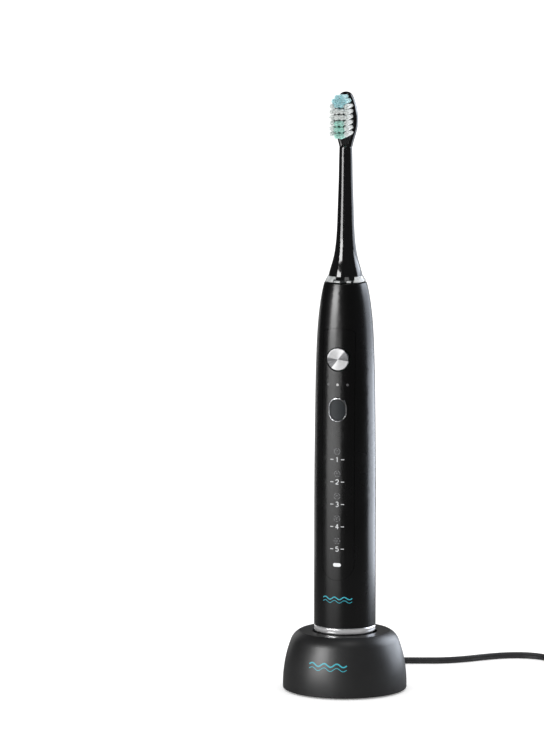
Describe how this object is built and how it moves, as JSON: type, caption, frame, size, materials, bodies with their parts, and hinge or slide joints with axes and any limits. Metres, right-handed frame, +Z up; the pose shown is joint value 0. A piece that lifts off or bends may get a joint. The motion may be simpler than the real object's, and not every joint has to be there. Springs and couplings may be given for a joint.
{
  "type": "electric toothbrush on charger",
  "caption": "Slim black electric toothbrush with a long control panel and a removable brush head, standing on a round dome charger with a thin cord and USB plug.",
  "frame": {"origin": "on the surface that the charger stands on, under the middle of the charger", "axes": "+Z up along the handle, -Y the front with the control panel, +X to the right seen from the front"},
  "size_m": [0.1649, 0.1382, 0.2629],
  "materials": {
    "charger_plastic": "satin dark grey moulded plastic",
    "inner_plastic": "plain black moulded plastic",
    "rubber": "soft black rubber",
    "screw_steel": "machined steel",
    "circuit_board": "green solder mask",
    "components": "black moulded parts",
    "indicator_light": "pale diffusing resin",
    "copper_wire": "enamelled copper winding",
    "ferrite": "sintered dark grey",
    "motor_plastic": "natural nylon",
    "cord_jacket": "smooth satin black jacket",
    "plug_steel": "drawn steel",
    "contact_metal": "plated spring metal",
    "battery_case": "shrink-wrapped cell",
    "handle_plastic": "satin black soft-touch plastic",
    "panel_plastic": "smooth satin black panel with pale printed marks",
    "window_plastic": "smoked translucent windows",
    "chrome_trim": "polished chrome plating",
    "spun_aluminium": "face turned in fine rings",
    "button_plastic": "glossy black",
    "head_plastic": "glossy black",
    "clear_plastic": "clear moulded plastic",
    "bristle_white": "white nylon filaments",
    "bristle_green": "mint green nylon filaments",
    "bristle_blue": "sky blue nylon filaments"
  },
  "bodies": {
    "charger": {"charger_shell": "charger_plastic", "charger_base_plate": "inner_plastic", "charger_foot_ring": "rubber", "charger_screws": "screw_steel", "charger_board": "circuit_board", "charger_board_parts": "components", "charger_bobbin": "inner_plastic", "charger_coil": "copper_wire", "charger_ferrite": "ferrite", "cord_strain_relief": "cord_jacket", "cord_lead": "cord_jacket", "cord_coil": "cord_jacket", "cord_tail": "cord_jacket", "cord_tie": "inner_plastic", "plug_grip": "cord_jacket", "plug_shell": "plug_steel", "plug_insert": "inner_plastic", "plug_contacts": "contact_metal"},
    "handle": {"handle_body": "handle_plastic", "base_ring": "chrome_trim", "bottom_cap": "inner_plastic", "cap_seal": "rubber", "receiver_coil": "copper_wire", "chassis": "inner_plastic", "battery": "battery_case", "battery_contacts": "contact_metal", "control_board": "circuit_board", "chassis_screws": "screw_steel", "switch_bodies": "components", "indicator_leds": "indicator_light", "board_chips": "components", "control_panel": "panel_plastic", "indicator_windows": "window_plastic", "power_button_gasket": "rubber", "mode_button_rim": "chrome_trim", "motor_can": "screw_steel", "motor_cap_lower": "motor_plastic", "motor_cap_upper": "motor_plastic", "bearing_lower": "screw_steel", "bearing_upper": "screw_steel", "motor_coils": "copper_wire", "nose_bulkhead": "inner_plastic", "shaft_seal": "rubber"},
    "power_button": {"power_button": "spun_aluminium", "power_plunger": "screw_steel"},
    "mode_button": {"mode_button": "button_plastic", "mode_plunger": "screw_steel"},
    "shaft": {"drive_shaft": "screw_steel", "rotor_core": "ferrite", "rotor_magnets": "ferrite"},
    "head": {"head_stem": "head_plastic", "head_socket_insert": "screw_steel", "id_ring": "clear_plastic", "bristles_white": "bristle_white", "bristles_green": "bristle_green", "bristles_blue": "bristle_blue"}
  },
  "joints": [
    {"name": "handle_lift", "type": "slide", "parent": "charger", "child": "handle", "axis": [0, 0, 1], "range_m": [0, 0.03]},
    {"name": "shaft_swing", "type": "hinge", "parent": "handle", "child": "shaft", "pos_m": [0, 0, 0.146], "axis": [0, 0, 1], "range_deg": [-5, 5], "stiffness_Nm_per_rad": 0.05},
    {"name": "head_pull", "type": "slide", "parent": "shaft", "child": "head", "axis": [0, 0, 1], "range_m": [0, 0.022]},
    {"name": "power_press", "type": "slide", "parent": "handle", "child": "power_button", "axis": [0, 1, 0], "range_m": [0, 0.0004], "stiffness_N_per_m": 1500},
    {"name": "mode_press", "type": "slide", "parent": "handle", "child": "mode_button", "axis": [0, 1, 0], "range_m": [0, 0.0004], "stiffness_N_per_m": 1500}
  ]
}
